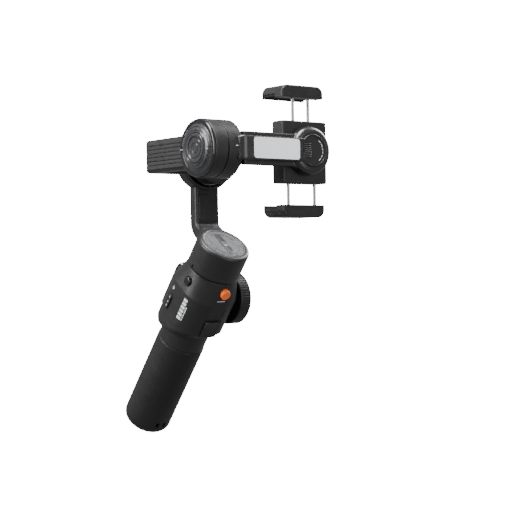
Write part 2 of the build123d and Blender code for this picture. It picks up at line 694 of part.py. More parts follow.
def make_roll_stage():
    make_roll_arm()
    head("roll_shaft", rod("y", SHAFT_R, PLATE_BACK + 3.6, ROLL_HUB_BACK))
    head("roll_magnets", ring("y", 20.4, ROLL_STATOR_R + AIR_GAP, PLATE_BACK + 4.0, ROLL_HUB_BACK))
    head("tilt_stator", toothed_stator("x", STATOR_R, TILT_BOSS_IN + 2, TILT_OUT - 4.6))
    bearings = [bearing("x", start) for start in (TILT_BOSS_IN, TILT_OUT - 6.4)]
    head("tilt_bearings", Compound(children=bearings))

    window_r = CAP_RING_R - CAP_RING_WALL
    rim = ring("x", CAP_RING_R, window_r, TILT_OUT, CAP_RING_OUT)
    outer_rim = rim.edges().group_by(Axis.X)[-1].sort_by(SortBy.LENGTH)[-1]
    rim = soften(rim, [outer_rim], 0.8)
    head("tilt_cap_ring", rim)
    low, high = CAP_RING_OUT - CAP_SINK, CAP_DISC_OUT - 0.4
    window = rod("x", window_r, TILT_OUT, low)
    slope = Cone(window_r - 0.8, CAP_DISC_R + 0.8, high - low)
    window += Pos((low + high) / 2, 0, 0) * Rot(0, 90, 0) * slope
    window -= rod("x", CAP_DISC_R, low, CAP_DISC_OUT + PAST)
    head("tilt_cap_window", window)
    disc = rod("x", CAP_DISC_R, low, CAP_DISC_OUT)
    head("tilt_cap_disc", round_end(disc, Axis.X, 0.6))


# --- tilt stage and light arm -------------------------------------------------

def make_tilt_stage():
    end = TILT_SEAM - TILT_GAP
    inside = TILT_IN + TILT_CHAMFER
    rotor = rod("x", TILT_R, TILT_IN, end)
    rotor = chamfer(rotor.edges().group_by(Axis.X)[0].filter_by(GeomType.CIRCLE), TILT_CHAMFER)
    rotor -= rod("x", TILT_R - TILT_WALL, inside, end + PAST)
    head("tilt_rotor", rotor)
    head("tilt_shaft", rod("x", SHAFT_R, inside, TILT_OUT - 4.0))
    head("tilt_magnets", ring("x", TILT_R - TILT_WALL, STATOR_R + AIR_GAP, inside + 3.4, end - 0.3))


def arm_plate():
    """The light arm's plate: a straight bar that flares into the swivel ring."""
    bar = Pos((CLAMP_X + TILT_IN) / 2, 0) * Rectangle(TILT_IN - CLAMP_X, 2 * ARM_HALF)
    outline = bar + Pos(CLAMP_X, 0) * Circle(SWIVEL_RING_R)
    meeting = [corner for corner in outline.vertices() if corner.X < TILT_IN - PAST]
    outline = fillet(meeting, ARM_FLARE)
    plate = extrude(Plane.XZ.offset(-ARM_BACK) * outline, ARM_BACK - ARM_MID)
    faces = (ARM_BACK, ARM_MID)
    rims = plate.edges().filter_by(lambda edge: min(abs(edge.center().Y - y) for y in faces) < 0.01)
    return soften(plate, rims.filter_by(lambda edge: edge.center().X < TILT_IN - 0.1), ARM_EDGE)


def make_light_arm():
    at = (CLAMP_X, 0)
    swivel = rod("y", SWIVEL_RING_R, ARM_BACK, SWIVEL_RING_FRONT, at)
    swivel = round_end(round_end(swivel, Axis.Y, SWIVEL_RING_EDGE), Axis.Y, ARM_EDGE, 0)
    depth = (SWIVEL_CAP_BACK - SWIVEL_CAP_GAP, COVER_FRONT + PAST)
    recess = rod("y", SWIVEL_CAP_R + SWIVEL_CAP_GAP, *depth, at)
    arm = arm_plate() + swivel - recess - rod("y", SWIVEL_PIN_R + FIT, 0, COVER_FRONT, at)
    floor = ARM_MID - LIGHT_POCKET
    height = (-LIGHT_POCKET_HALF, LIGHT_POCKET_HALF)
    arm -= block((DIFFUSER_IN + 3, DIFFUSER_OUT - 1), (floor, ARM_MID + PAST), height)
    head("light_arm", arm)
    height = (-LIGHT_BOARD_HALF, LIGHT_BOARD_HALF)
    head("light_board", block((DIFFUSER_IN + 4, DIFFUSER_OUT - 2), (floor, floor + LIGHT_BOARD), height))

    cover = block((COVER_IN, COVER_OUT), (ARM_MID, COVER_FRONT), (-COVER_HALF, COVER_HALF))
    ends = cover.edges().filter_by(Axis.Z).group_by(Axis.X)[-1].sort_by(Axis.Y)[-1:]
    cover = soften(cover, ends, COVER_NOSE)
    cover = soften(cover, [edge for edge in cover.edges() if edge.center().Y > ARM_MID + 1], COVER_EDGE)
    cover -= rod("x", TILT_R + FIT, TILT_IN - 0.2, COVER_OUT + PAST)
    cover = cover - swivel - recess
    height = (-DIFFUSER_HALF, DIFFUSER_HALF)
    window = block((DIFFUSER_IN, DIFFUSER_OUT), (ARM_MID, COVER_FRONT + PAST), height)
    window = soften(window, window.edges().filter_by(Axis.Y), DIFFUSER_CORNER)
    head("light_cover", cover - window)
    front = COVER_FRONT + 0.2
    lens = window & block((DIFFUSER_IN, DIFFUSER_OUT), (front - DIFFUSER_THICK, front), height)
    head("light_diffuser", lens - recess - swivel)


# --- clamp --------------------------------------------------------------------

def make_clamp():
    left, right = CLAMP_X - CLAMP_HALF, CLAMP_X + CLAMP_HALF
    at = (CLAMP_X, 0)
    body = block((left, right), (BACK_PAD, CLAMP_FRONT), (CLAMP_LOW, CLAMP_HIGH))
    body = soften(body, body.edges().filter_by(Axis.Y), CLAMP_CORNER)
    body = round_end(body, Axis.Y, 1.0)
    for side in (-1, 1):
        for x in (CLAMP_X + side * UPPER_ROD_X, CLAMP_X + side * LOWER_ROD_X):
            body -= rod("z", ROD_R + FIT, CLAMP_LOW - PAST, CLAMP_HIGH + PAST, (x, ROD_Y))
    body -= rod("y", SWIVEL_PIN_R, SWIVEL_PIN_BACK, CLAMP_FRONT + PAST, at)
    drum = SPRING_DRUM
    pocket = block((CLAMP_X - SPRING_R - 0.4, CLAMP_X + SPRING_R + 0.4), (drum[0] - 0.6, drum[1] + 0.6),
                   (SPRING_Z - SPRING_POCKET_HALF, SPRING_Z + SPRING_POCKET_HALF))
    body -= pocket + mirror(pocket, Plane.XY)
    drums = []
    for z in (-SPRING_Z, SPRING_Z):
        body += rod("y", SPRING_POST_R, drum[0] - 1.2, drum[1] + 1.2, (CLAMP_X, z))
        drums.append(ring("y", SPRING_R, SPRING_POST_R, *drum, (CLAMP_X, z)))
    head("clamp_block", body)
    head("jaw_springs", Compound(children=drums))

    across = (left + BACK_PAD_MARGIN, right - BACK_PAD_MARGIN)
    pad = block(across, (0, BACK_PAD), (-BACK_PAD_HALF, BACK_PAD_HALF))
    head("clamp_back_pad", soften(pad, pad.edges().filter_by(Axis.Y), CLAMP_CORNER))
    head("swivel_pin", rod("y", SWIVEL_PIN_R, SWIVEL_PIN_BACK, SWIVEL_CAP_BACK, at))
    cap = rod("y", SWIVEL_CAP_R, SWIVEL_CAP_BACK, SWIVEL_CAP_FRONT, at)
    head("swivel_cap", round_end(cap, Axis.Y, 0.6))


def make_jaw(name, side, rod_x):
    """A jaw: a channel that holds the phone's edge, two rods and a grip pad."""
    across = (JAW_IN_X - PAST, JAW_OUT_X + PAST)
    low = JAW_INNER - LIP_DROP
    roof = JAW_INNER + JAW_PAD
    slot = (JAW_BACK + JAW_LIP, JAW_BACK + JAW_LIP + PHONE_SLOT)
    jaw = block((JAW_IN_X, JAW_OUT_X), (JAW_BACK, CLAMP_FRONT), (low, JAW_OUTER))
    jaw = soften(jaw, jaw.edges().filter_by(Axis.Y).group_by(Axis.Z)[-1], JAW_CORNER)
    for end, radius in ((-1, JAW_EDGE), (0, JAW_BACK_EDGE)):
        rims = [edge for edge in jaw.edges().group_by(Axis.Y)[end] if edge.center().Z > low + 0.1]
        jaw = soften(jaw, rims, radius)
    jaw -= block(across, slot, (low - PAST, roof))
    jaw -= block(across, (0, JAW_PAD_FRONT + 0.1), (low - PAST, roof))
    rods = []
    for x in (CLAMP_X - rod_x, CLAMP_X + rod_x):
        jaw -= rod("z", ROD_R, low - PAST, JAW_INNER + ROD_SOCKET, (x, ROD_Y))
        rods.append(rod("z", ROD_R, -ROD_REACH, JAW_INNER + ROD_SOCKET, (x, ROD_Y)))
    pad = block((JAW_IN_X + 0.6, JAW_OUT_X - 0.6), (slot[0] + 0.1, JAW_PAD_FRONT), (JAW_INNER, roof))
    pieces = {"_jaw": jaw, "_rods": Compound(children=rods), "_jaw_pad": pad}
    for ending, piece in pieces.items():
        head(name + ending, piece if side > 0 else mirror(piece, Plane.XY))


def build():
    make_grip()
    make_battery()
    make_control_body()
    make_panel()
    make_board()
    make_pan_base()
    make_wheel()
    make_trigger()
    make_buttons()
    make_joystick()
    make_pan_stage()
    make_roll_stage()
    make_tilt_stage()
    make_light_arm()
    make_clamp()
    make_jaw("upper", 1, UPPER_ROD_X)
    make_jaw("lower", -1, LOWER_ROD_X)


build()
os.makedirs("parts", exist_ok=True)
for name, shape in NODES.items():
    export_step(shape, os.path.join("parts", name + ".step"))
print(len(NODES), "nodes")
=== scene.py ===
import json
import math

import bmesh
import bpy
from mathutils import Matrix, Vector
from mathutils.bvhtree import BVHTree


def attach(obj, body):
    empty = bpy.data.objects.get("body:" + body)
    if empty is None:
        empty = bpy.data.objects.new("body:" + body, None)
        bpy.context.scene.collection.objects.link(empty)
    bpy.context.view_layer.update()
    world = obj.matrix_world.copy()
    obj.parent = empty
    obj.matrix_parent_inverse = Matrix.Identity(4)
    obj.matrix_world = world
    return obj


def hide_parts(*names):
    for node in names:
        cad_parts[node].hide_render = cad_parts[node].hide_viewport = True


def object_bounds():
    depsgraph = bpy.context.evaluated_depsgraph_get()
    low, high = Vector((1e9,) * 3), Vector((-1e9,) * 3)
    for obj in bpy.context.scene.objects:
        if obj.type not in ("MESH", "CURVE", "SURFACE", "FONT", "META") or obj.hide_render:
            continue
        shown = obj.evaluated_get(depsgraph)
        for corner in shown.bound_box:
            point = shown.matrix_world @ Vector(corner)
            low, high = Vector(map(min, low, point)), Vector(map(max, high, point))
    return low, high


MM = 0.001
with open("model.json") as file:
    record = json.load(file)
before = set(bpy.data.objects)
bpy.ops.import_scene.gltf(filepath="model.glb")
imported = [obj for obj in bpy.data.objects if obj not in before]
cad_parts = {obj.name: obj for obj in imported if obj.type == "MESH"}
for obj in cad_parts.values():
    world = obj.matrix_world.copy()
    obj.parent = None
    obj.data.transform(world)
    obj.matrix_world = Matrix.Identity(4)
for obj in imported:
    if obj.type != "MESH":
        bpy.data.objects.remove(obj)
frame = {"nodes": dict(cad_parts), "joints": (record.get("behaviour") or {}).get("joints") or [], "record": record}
CAD_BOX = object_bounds()
NODES = frame["nodes"]
JOINTS = {joint["name"]: joint for joint in frame["joints"]}

# Plastics: base colours, and rounding and seam sizes in metres
GRIP_BLACK = (0.0095, 0.0092, 0.0098)
BODY_BLACK = (0.013, 0.013, 0.0135)
ARM_BLACK = (0.014, 0.014, 0.0145)
SATIN_BLACK = (0.011, 0.011, 0.0115)
EDGE_ROUND = 0.0006
SATIN_EDGE_ROUND = 0.0012
SEAM_DEPTH = 0.00012

# The grip's seam: its direction in degrees, and where its groove ends and the skin is level, in radians
SEAM_ANGLE = 62.0
SEAM_GROOVE = 0.004
SEAM_LEVEL = 0.014

# Angles in degrees above which an edge stays sharp
PRINT_SHARP = 35.0
CAP_SHARP = 30
THREAD_SHARP = 50

# The tripod thread, in millimetres
THREAD_CREST_R = 2.62
THREAD_ROOT_R = 3.15
THREAD_PITCH = 1.27
THREAD_SEGMENTS = 48
ROWS_PER_TURN = 8

# Printed bars, in millimetres: how far they stand out and sink in, their mesh step, where the rays start
PRINT_LIFT = 0.06
PRINT_SINK = 0.15
PRINT_STEP = 0.6
RAY_START = 12
RAY_REACH_M = 0.03

# Where the prints sit in the row frame, in millimetres; the angles go from +Y toward +X
MARK_ANGLE = 63.0
MARK_Z = 123.5
MARK_RADIUS = 21
BUTTON_MARK = (0.2, 20, 139.2)
SPECK_MARK = (20, -6.8, 130)
PILL_TURN = math.radians(105.0)

# Ticks round the joystick, in millimetres and degrees
TICK_INNER = 9.4
TICK_OUTER = 10.0
TICK_HALF_ANGLE = 7

# The motor screws, in millimetres in the head frame: the Y of their plane, and the X and Z of each
SCREW_FACE = -68.5
SCREW_CENTRES = ((-1.0, -22.1), (-5.7, -21.6))
SCREW_SEGMENTS = 24

# The swivel cap, in millimetres: its finger ribs and its ring of dashes
RIB_ROWS = 7
RIB_PITCH = 1.47
RIB_HALF = 0.38
RIB_START = -9.1
RIB_END = -2.0
SWIVEL_DASH_INNER = 8.2
SWIVEL_DASH_OUTER = 8.8

# The pan cap, in millimetres and degrees: its dark band, the tab in the band, and its dashes
BAND_HALF = 3.0
BAND_REACH = 10.8
TAB_HALF = 1.7
TAB_REACH = 2.6
PAN_DASH_INNER = 12.9
PAN_DASH_OUTER = 13.8
PAN_DASH_ANGLE = 7
PAN_DASH_PITCH = 11

# The camera: angles in degrees in the head frame, distances in millimetres, the picture in pixels
VIEW_TURN = 38.35
VIEW_RISE = 0.37
VIEW_ROLL = -0.89
VIEW_SHIFT = (7.7, 73.5)
VIEW_DISTANCE = 1000.0
FOCAL_PIXELS = 1411.0
PICTURE = 510.0
SENSOR = 36.0

# The stage, in metres, and its brightness
FLOOR_HALF = 8.0
FLOOR_GAP = 0.0002
FLOOR_GLOW = 16.0
SURROUND = 0.35

# The head frame: X along the tilt axis, Y along the roll axis, origin where the motor axes meet
O = Vector(JOINTS["tilt"]["pos_m"])
XH = Vector(JOINTS["tilt"]["axis"]).normalized()
YH = Vector(JOINTS["roll"]["axis"]).normalized()
ZH = XH.cross(YH)


def placement(origin, x, y, z):
    """A matrix from a local frame in millimetres to the row frame in metres."""
    turn = Matrix((x, y, z)).transposed().to_4x4()
    return Matrix.Translation(origin) @ turn @ Matrix.Scale(MM, 4)


ROW = placement(Vector((0, 0, 0)), Vector((1, 0, 0)), Vector((0, 1, 0)), Vector((0, 0, 1)))
HEAD = placement(O, XH, YH, ZH)


def extent(node, place):
    """Lowest and highest corner of a CAD node in a local frame, in millimetres."""
    back = place.inverted()
    points = [back @ vertex.co for vertex in NODES[node].data.vertices]
    low = Vector(min(p[i] for p in points) for i in range(3))
    high = Vector(max(p[i] for p in points) for i in range(3))
    return low, high


def facing(place, centre, outward, up):
    """A local frame whose Z points outward and whose Y points up, at a point of another frame."""
    z = Vector(outward).normalized()
    y = Vector(up).normalized()
    local = Matrix((y.cross(z), y, z)).transposed().to_4x4()
    return place @ Matrix.Translation(Vector(centre)) @ local


# --- materials ----------------------------------------------------------------

MATERIALS = {}


class Shader:
    """A material under construction, with short calls for its nodes."""

    def __init__(self, name):
        self.material = bpy.data.materials.new(name)
        self.material.use_nodes = True
        self.tree = self.material.node_tree
        self.main = self.tree.nodes["Principled BSDF"]
        self.place = self.add("ShaderNodeTexCoord").outputs["Object"]
        MATERIALS[name] = self.material

    def add(self, kind, **values):
        made = self.tree.nodes.new(kind)
        for key, value in values.items():
            setattr(made, key, value)
        return made

    def link(self, source, target):
        self.tree.links.new(source, target)

    def set(self, **values):
        for key, value in values.items():
            self.main.inputs[key.replace("_", " ")].default_value = value

    def noise(self, scale, detail=3.0, rough=0.5, stretch=None):
        """Noise in object space, which may be stretched along an axis."""
        made = self.add("ShaderNodeTexNoise")
        made.inputs["Scale"].default_value = scale
        made.inputs["Detail"].default_value = detail
        made.inputs["Roughness"].default_value = rough
        source = self.place
        if stretch:
            mapping = self.add("ShaderNodeMapping")
            mapping.inputs["Scale"].default_value = stretch
            self.link(self.place, mapping.inputs["Vector"])
            source = mapping.outputs["Vector"]
        self.link(source, made.inputs["Vector"])
        return made.outputs["Fac"]

    def ramp(self, source, low, high, start=0.3, end=0.7):
        """Map a value to a range of colours."""
        made = self.add("ShaderNodeValToRGB")
        made.color_ramp.elements[0].position = start
        made.color_ramp.elements[1].position = end
        made.color_ramp.elements[0].color = (*low, 1)
        made.color_ramp.elements[1].color = (*high, 1)
        self.link(source, made.inputs["Fac"])
        return made.outputs["Color"]

    def spread(self, source, low, high, start=0.3, end=0.7):
        """Map a value to a range of numbers."""
        made = self.add("ShaderNodeMapRange")
        made.inputs["From Min"].default_value = start
        made.inputs["From Max"].default_value = end
        made.inputs["To Min"].default_value = low
        made.inputs["To Max"].default_value = high
        self.link(source, made.inputs["Value"])
        return made.outputs["Result"]

    def mix(self, factor, first, second):
        """Blend two colours, each a socket or a plain colour."""
        made = self.add("ShaderNodeMix", data_type="RGBA")
        self.link(factor, made.inputs["Factor"])
        for slot, value in (("A", first), ("B", second)):
            target = [i for i in made.inputs if i.name == slot and i.type == "RGBA"][0]
            if isinstance(value, tuple):
                target.default_value = (*value, 1)
            else:
                self.link(value, target)
        return [o for o in made.outputs if o.type == "RGBA"][0]

    def bump(self, height, depth, strength=1.0, below=None):
        """A bump of a depth in metres, over another bump if one is given."""
        made = self.add("ShaderNodeBump")
        made.inputs["Distance"].default_value = depth
        made.inputs["Strength"].default_value = strength
        self.link(height, made.inputs["Height"])
        if below is not None:
            self.link(below, made.inputs["Normal"])
        return made.outputs["Normal"]

    def soft_edge(self, radius):
        """Surface normals with every edge rounded by a radius in metres."""
        made = self.add("ShaderNodeBevel", samples=4)
        made.inputs["Radius"].default_value = radius
        return made.outputs["Normal"]

    def edge_highlight_mask(self, rounded, none_at=0.98, full_at=0.80):
        """How far a point is on a sharp edge, for a painted highlight: where the rounded normal leaves the true
        one.
        """
        made = self.add("ShaderNodeVectorMath", operation="DOT_PRODUCT")
        self.link(rounded, made.inputs[0])
        self.link(self.add("ShaderNodeNewGeometry").outputs["Normal"], made.inputs[1])
        return self.spread(made.outputs["Value"], 1, 0, full_at, none_at)


def shade(colour, factor):
    """A colour made darker or lighter."""
    return tuple(min(1.0, channel * factor) for channel in colour)


def moulded(name, colour, rough=0.45, grain=0.00045, depth=0.00003, specular=0.35, edge=1.5,
            round_off=EDGE_ROUND):
    """Injection-moulded plastic: a fine spark-eroded grain, slow colour drift, and a highlight painted along its
    edges.
    """
    made = Shader(name)
    drift = made.ramp(made.noise(38, 4), shade(colour, 0.86), shade(colour, 1.16))
    rounded = made.soft_edge(round_off)
    # Painted highlight: edges get the colour lifted by the factor edge, over a band set by round_off.
    edge_lit = made.mix(made.edge_highlight_mask(rounded), drift, shade(colour, edge))
    made.link(edge_lit, made.main.inputs["Base Color"])
    sheen = made.spread(made.noise(140, 5, 0.6), rough - 0.06, rough + 0.07)
    made.link(sheen, made.main.inputs["Roughness"])
    coarse = made.bump(made.noise(0.5 / grain, 2), depth * 1.6, 0.35, rounded)
    made.link(made.bump(made.noise(1 / grain, 2), depth, 0.8, coarse), made.main.inputs["Normal"])
    made.set(Specular_IOR_Level=specular)
    return made


def glossy(name, colour, rough=0.10, coat=0.6):
    """Polished plastic with faint handling marks in its gloss."""
    made = Shader(name)
    smear = made.noise(60, 6, 0.65, (1.0, 0.35, 1.0))
    made.link(made.ramp(smear, shade(colour, 0.9), shade(colour, 1.15)), made.main.inputs["Base Color"])
    made.link(made.spread(made.noise(220, 6, 0.7), rough * 0.6, rough * 1.8), made.main.inputs["Roughness"])
    made.link(made.bump(made.noise(900, 2), 0.000004, 0.5), made.main.inputs["Normal"])
    made.set(Coat_Weight=coat, Coat_Roughness=0.05, Specular_IOR_Level=0.5)


def metal(name, colour, rough=0.3, stretch=(1.0, 1.0, 30.0), scale=900):
    """Turned or drawn metal, with fine marks along one way."""
    made = Shader(name)
    marks = made.noise(scale, 3, 0.6, stretch)
    made.link(made.ramp(marks, shade(colour, 0.82), shade(colour, 1.1)), made.main.inputs["Base Color"])
    made.link(made.spread(marks, rough * 0.7, rough * 1.4), made.main.inputs["Roughness"])
    made.link(made.bump(marks, 0.000008, 0.6), made.main.inputs["Normal"])
    made.set(Metallic=1.0)


def rubber(name, colour, rough=0.75):
    """Soft matte rubber with a pebbled skin, a little dust, and a highlight painted along its edges."""
    made = Shader(name)
    dust = made.ramp(made.noise(90, 5, 0.7), shade(colour, 0.85), shade(colour, 1.35))
    rounded = made.soft_edge(EDGE_ROUND)
    # Painted highlight: the edges get the colour lifted 1.7 times.
    made.link(made.mix(made.edge_highlight_mask(rounded), dust, shade(colour, 1.7)), made.main.inputs["Base Color"])
    made.link(made.spread(made.noise(400, 3), rough - 0.08, rough + 0.1), made.main.inputs["Roughness"])
    made.link(made.bump(made.noise(2600, 2), 0.00004, 0.7, rounded), made.main.inputs["Normal"])
    made.set(Specular_IOR_Level=0.25)


def grip_plastic():
    """The grip's plastic: a slightly rougher grain, and one moulding seam down its side."""
    made = moulded("grip_plastic", GRIP_BLACK, rough=0.50, grain=0.00062, depth=0.00006,
                   specular=0.32, edge=1.3)
    split = made.add("ShaderNodeSeparateXYZ")
    made.link(made.place, split.inputs["Vector"])
    angle = made.add("ShaderNodeMath", operation="ARCTAN2")
    made.link(split.outputs["X"], angle.inputs[0])
    made.link(split.outputs["Y"], angle.inputs[1])
    offset = made.add("ShaderNodeMath", operation="SUBTRACT")
    made.link(angle.outputs["Value"], offset.inputs[0])
    offset.inputs[1].default_value = math.radians(SEAM_ANGLE)
    width = made.add("ShaderNodeMath", operation="ABSOLUTE")
    made.link(offset.outputs["Value"], width.inputs[0])
    line = made.spread(width.outputs["Value"], 0, 1, SEAM_GROOVE, SEAM_LEVEL)
    base = made.main.inputs["Normal"].links[0].from_socket
    made.link(made.bump(line, SEAM_DEPTH, 1.0, base), made.main.inputs["Normal"])


def prism_lens():
    """The fill light's diffuser: milky white with a fine square prism pattern."""
    made = Shader("diffuser_white")
    tone = made.ramp(made.noise(24, 2), (0.78, 0.79, 0.82), (0.88, 0.88, 0.89))
    made.link(tone, made.main.inputs["Base Color"])
    made.link(made.spread(made.noise(500, 3), 0.28, 0.42), made.main.inputs["Roughness"])
    cells = made.add("ShaderNodeTexVoronoi", feature="F1", distance="CHEBYCHEV")
    cells.inputs["Scale"].default_value = 1400
    cells.inputs["Randomness"].default_value = 0.0
    made.link(made.place, cells.inputs["Vector"])
    made.link(made.bump(cells.outputs["Distance"], 0.00003, 0.5), made.main.inputs["Normal"])
    made.set(Subsurface_Weight=0.25, Subsurface_Scale=0.002, Emission_Strength=0.35)
    made.set(Emission_Color=(0.9, 0.93, 1.0, 1))


def clear_plastic():
    """Clear smoky cover plastic."""
    made = Shader("clear_cover")
    made.link(made.spread(made.noise(220, 5, 0.7), 0.02, 0.09), made.main.inputs["Roughness"])
    tint = made.ramp(made.noise(30, 2), (0.72, 0.73, 0.75), (0.86, 0.87, 0.89))
    made.link(tint, made.main.inputs["Base Color"])
    made.set(Transmission_Weight=1.0, IOR=1.45, Coat_Weight=0.3)


def winding():
    """Enamelled copper wire, wound tight."""
    made = Shader("copper_winding")
    wave = made.add("ShaderNodeTexWave", wave_type="BANDS")
    wave.inputs["Scale"].default_value = 700
    wave.inputs["Distortion"].default_value = 1.5
    made.link(made.place, wave.inputs["Vector"])
    copper = made.ramp(wave.outputs["Fac"], (0.30, 0.09, 0.03), (0.85, 0.36, 0.14))
    made.link(copper, made.main.inputs["Base Color"])
    made.link(made.bump(wave.outputs["Fac"], 0.0001, 0.8), made.main.inputs["Normal"])
    made.set(Metallic=0.8, Roughness=0.32)


def circuit():
    """Solder mask over copper tracks."""
    made = Shader("solder_mask")
    tracks = made.add("ShaderNodeTexBrick")
    tracks.inputs["Scale"].default_value = 330
    tracks.inputs["Mortar Size"].default_value = 0.03
    tracks.inputs["Color1"].default_value = (0.01, 0.10, 0.04, 1)
    tracks.inputs["Color2"].default_value = (0.012, 0.14, 0.055, 1)
    tracks.inputs["Mortar"].default_value = (0.10, 0.30, 0.10, 1)
    made.link(made.place, tracks.inputs["Vector"])
    made.link(tracks.outputs["Color"], made.main.inputs["Base Color"])
    made.link(made.bump(tracks.outputs["Fac"], 0.00003, 0.6), made.main.inputs["Normal"])
    made.link(made.spread(made.noise(400, 3), 0.25, 0.4), made.main.inputs["Roughness"])


def brushed_disc(name, colour, rough):
    """Moulded disc with a fine mottled skin."""
    made = Shader(name)
    mottle = made.noise(700, 2, 0.5)
    made.link(made.ramp(mottle, shade(colour, 0.85), shade(colour, 1.15)), made.main.inputs["Base Color"])
    made.link(made.spread(made.noise(160, 5), rough * 0.7, rough * 1.4), made.main.inputs["Roughness"])
    made.link(made.bump(mottle, 0.000004, 0.3), made.main.inputs["Normal"])
    made.set(Coat_Weight=0.25, Coat_Roughness=0.15)


def make_materials():
    """Every finish that the slots, the nodes and the pieces name."""
    grip_plastic()
    moulded("body_plastic", BODY_BLACK, rough=0.42, grain=0.0004, depth=0.000025)
    moulded("arm_plastic", ARM_BLACK, rough=0.38, grain=0.0004, depth=0.00002, specular=0.4, edge=1.8)
    # Satin black's edges are painted five times lighter, a painted highlight along the light arm and cover edges.
    moulded("satin_black", SATIN_BLACK, rough=0.26, grain=0.0003, depth=0.00001, specular=0.7, edge=5.0,
            round_off=SATIN_EDGE_ROUND)
    glossy("gloss_black", (0.006, 0.006, 0.0065))
    glossy("button_black", (0.005, 0.005, 0.005), rough=0.14, coat=0.4)
    glossy("orange_cap", (1.0, 0.14, 0.006), rough=0.25, coat=0.2)
    glossy("record_cap", (0.50, 0.012, 0.012), rough=0.22, coat=0.3)
    glossy("lamp_lens", (0.55, 0.60, 0.66), rough=0.08, coat=0.5)
    glossy("smoke_window", (0.022, 0.022, 0.025), rough=0.24, coat=0.25)
    glossy("print_white", (0.70, 0.71, 0.72), rough=0.35, coat=0.0)
    # Grey print, also used for the painted reflection arcs on the tilt cap.
    glossy("grey_print_and_reflection", (0.16, 0.16, 0.17), rough=0.35, coat=0.0)
    glossy("print_dark", (0.004, 0.004, 0.004), rough=0.4, coat=0.0)
    brushed_disc("cap_grey", (0.075, 0.076, 0.082), 0.35)
    brushed_disc("cap_band", (0.012, 0.012, 0.013), 0.4)
    brushed_disc("cap_dark", (0.022, 0.022, 0.024), 0.3)
    rubber("rubber_black", (0.014, 0.014, 0.014))
    rubber("rib_rubber", (0.020, 0.020, 0.0205), 0.6)
    metal("rod_steel", (0.36, 0.36, 0.37), rough=0.22, stretch=(1.0, 0.05, 0.05))
    metal("turned_steel", (0.55, 0.55, 0.56), 0.3)
    metal("cast_aluminium", (0.50, 0.50, 0.52), rough=0.4, stretch=(1, 1, 1), scale=500)
    metal("magnet_plate", (0.30, 0.30, 0.32), 0.25)
    metal("black_screw", (0.06, 0.06, 0.062), 0.35)
    moulded("battery_wrap", (0.03, 0.09, 0.22), rough=0.3, grain=0.002, depth=0.00002)
    prism_lens()
    clear_plastic()
    winding()
    circuit()


SLOT_MATERIAL = {
    "grip": "grip_plastic", "shell": "body_plastic", "arm": "arm_plastic", "gloss_panel": "gloss_black",
    "clear_cap": "clear_cover", "cap_disc": "cap_dark", "rubber_part": "rubber_black",
    "diffuser": "diffuser_white", "orange_plastic": "orange_cap", "record_red": "record_cap",
    "steel": "turned_steel", "aluminium_part": "cast_aluminium", "motor_copper": "copper_winding",
    "magnet": "magnet_plate", "circuit_board": "solder_mask", "battery_wrap": "battery_wrap",
    "led_lens": "lamp_lens",
}
NODE_MATERIAL = {"upper_rods": "rod_steel", "lower_rods": "rod_steel", "round_button": "button_black",
                 "tilt_cap_ring": "gloss_black", "light_arm": "satin_black", "light_cover": "satin_black",
                 "ribbed_pad": "rib_rubber"}


def dress_cad_nodes():
    """Every CAD node gets the finish of its slot, or its own."""
    for part in frame["record"]["subparts"]:
        piece = NODES[part["node"]]
        name = NODE_MATERIAL.get(part["node"], SLOT_MATERIAL[part["material_slot"]])
        if not piece.material_slots:
            piece.data.materials.append(None)
        for slot in piece.material_slots:
            slot.link = "OBJECT"
            slot.material = MATERIALS[name]


# --- mesh builders --------------------------------------------------------------

def finish_piece(name, bm, place, material, body, replaces=(), smooth=PRINT_SHARP):
    """Turn a mesh drawn in a local frame into a piece that rides on a body."""
    bmesh.ops.remove_doubles(bm, verts=bm.verts, dist=1e-4)
    bmesh.ops.recalc_face_normals(bm, faces=bm.faces)
    mesh = bpy.data.meshes.new(name)
    bm.to_mesh(mesh)
    bm.free()
    mesh.transform(place)
    mesh.materials.append(MATERIALS[material])
    piece = bpy.data.objects.new(name, mesh)
    bpy.context.scene.collection.objects.link(piece)
    mesh.shade_smooth()
    mesh.set_sharp_from_angle(angle=math.radians(smooth))
    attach(piece, body)
    if replaces:
        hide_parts(*replaces)


def arc_points(centre, radius, start, end, steps):
    """Points along an arc, as (x, y) pairs."""
    points = []
    for index in range(steps + 1):
        angle = math.radians(start + (end - start) * index / steps)
        points.append((centre[0] + radius * math.cos(angle), centre[1] + radius * math.sin(angle)))
    return points


def rounded_corners(low, high, radius, steps=5):
    """A rounded rectangle's outline."""
    points = []
    for x, y, start in ((1, 1, 0), (-1, 1, 90), (-1, -1, 180), (1, -1, 270)):
        across = high[0] - radius if x > 0 else low[0] + radius
        upward = high[1] - radius if y > 0 else low[1] + radius
        points += arc_points((across, upward), radius, start, start + 90, steps)
    return points


def add_prism(bm, outline, bottom, top, edge=0.0, steps=2):
    """A closed prism over an outline, with its top edge rounded."""
    levels = [(bottom, 0.0)]
    if edge:
        for index in range(steps + 1):
            angle = math.radians(90 * index / steps)
            levels.append((top - edge + edge * math.sin(angle), edge - edge * math.cos(angle)))
    else:
        levels.append((top, 0.0))
    centre = Vector((sum(p[0] for p in outline) / len(outline), sum(p[1] for p in outline) / len(outline)))
    rings = []
    for z, inset in levels:
        row = []
        for p in outline:
            away = Vector(p) - centre
            pulled = centre + away * max(0.0, 1 - inset / max(away.length, 1e-6))
            row.append(bm.verts.new((pulled.x, pulled.y, z)))
        rings.append(row)
    count = len(outline)
    for lower, upper in zip(rings, rings[1:]):
        for index in range(count):
            after = (index + 1) % count
            bm.faces.new((lower[index], lower[after], upper[after], upper[index]))
    bm.faces.new(list(reversed(rings[0])))
    bm.faces.new(rings[-1])


def add_box(bm, low, high, radius=0.2, edge=0.1):
    """A box with rounded upright edges and a rounded top, from two corners."""
    add_prism(bm, rounded_corners(low, high, radius, 3), low[2], high[2], edge)


